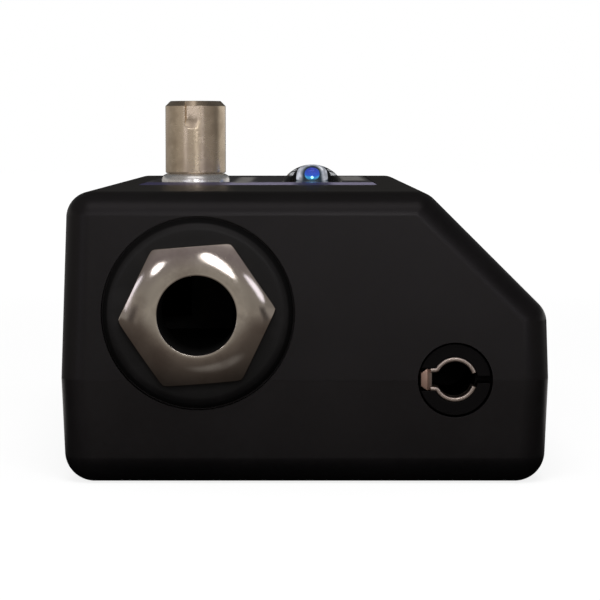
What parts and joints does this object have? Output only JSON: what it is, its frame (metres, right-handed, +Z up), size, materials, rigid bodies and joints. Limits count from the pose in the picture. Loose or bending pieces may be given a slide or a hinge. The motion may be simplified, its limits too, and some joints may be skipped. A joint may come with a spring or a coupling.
{
  "type": "wireless guitar transmitter",
  "caption": "Small black body-worn instrument transmitter: moulded case with a sloping shoulder, jack and charging socket in front, notched rotary control and domed pilot light on top.",
  "frame": {"origin": "middle of the flat base on which the case rests", "axes": "+X to the right seen from the front face with the sockets, +Y from the front face to the rear, +Z up through the top face with the control"},
  "size_m": [0.0406, 0.0825, 0.0322],
  "materials": {
    "case_upper": "fine moulded satin black",
    "case_lower": "fine moulded satin black",
    "black_screw": "blackened steel",
    "overlay_film": "dark satin film",
    "jack_moulding": "matte black",
    "washer_black": "satin black",
    "nickel_plate": "polished nickel plate",
    "spring_bronze": "drawn strip",
    "socket_moulding": "satin black",
    "clip_copper": "tarnished copper alloy",
    "shaft_metal": "turned and lightly tarnished",
    "bush_plated": "bright plated",
    "tin_sheet": "tinned sheet",
    "rotor_moulding": "matte ivory",
    "wiper_brass": "spring brass",
    "track_carbon": "printed carbon film",
    "base_laminate": "phenolic laminate",
    "tin_pin": "tinned",
    "clear_lens": "clear polished moulding",
    "blue_lamp": "blue tinted clear resin",
    "board_green": "solder mask",
    "steel_screw": "plain steel",
    "header_black": "matte black",
    "gold_pin": "gold flash",
    "chip_black": "moulded epoxy",
    "capacitor_sleeve": "shrink sleeve",
    "cell_foil": "laminated foil pouch",
    "foam_pad": "closed-cell foam",
    "connector_ivory": "ivory nylon",
    "lead_wire": "insulated wire"
  },
  "bodies": {
    "case": {"upper_case": "case_upper", "lower_case": "case_lower", "case_screws": "black_screw", "top_overlay": "overlay_film", "input_jack_body": "jack_moulding", "input_jack_washer": "washer_black", "input_jack_nut": "nickel_plate", "input_jack_tip_spring": "spring_bronze", "input_jack_switch_spring": "spring_bronze", "input_jack_sleeve_spring": "spring_bronze", "charge_socket_body": "socket_moulding", "charge_socket_clip": "clip_copper", "charge_socket_tip_spring": "spring_bronze", "control_bush": "bush_plated", "control_cover": "tin_sheet", "control_track": "track_carbon", "control_base": "base_laminate", "control_terminals": "tin_pin", "led_lens": "clear_lens", "led_lamp": "blue_lamp", "led_leads": "tin_pin", "control_board": "board_green", "control_board_screws": "steel_screw", "link_header_block": "header_black", "link_header_pins": "gold_pin", "main_board": "board_green", "radio_shield": "tin_sheet", "antenna": "spring_bronze", "board_chips": "chip_black", "board_capacitors": "capacitor_sleeve", "battery_cell": "cell_foil", "battery_pad": "foam_pad", "battery_socket": "connector_ivory", "battery_plug": "connector_ivory", "battery_leads": "lead_wire"},
    "control": {"control_shaft": "shaft_metal", "control_rotor": "rotor_moulding", "control_wiper": "wiper_brass"}
  },
  "joints": [
    {"name": "control_turn", "type": "hinge", "parent": "case", "child": "control", "pos_m": [-0.0108, 0.0028, 0.0242], "axis": [0, 0, 1], "range_deg": [-150, 150]}
  ]
}
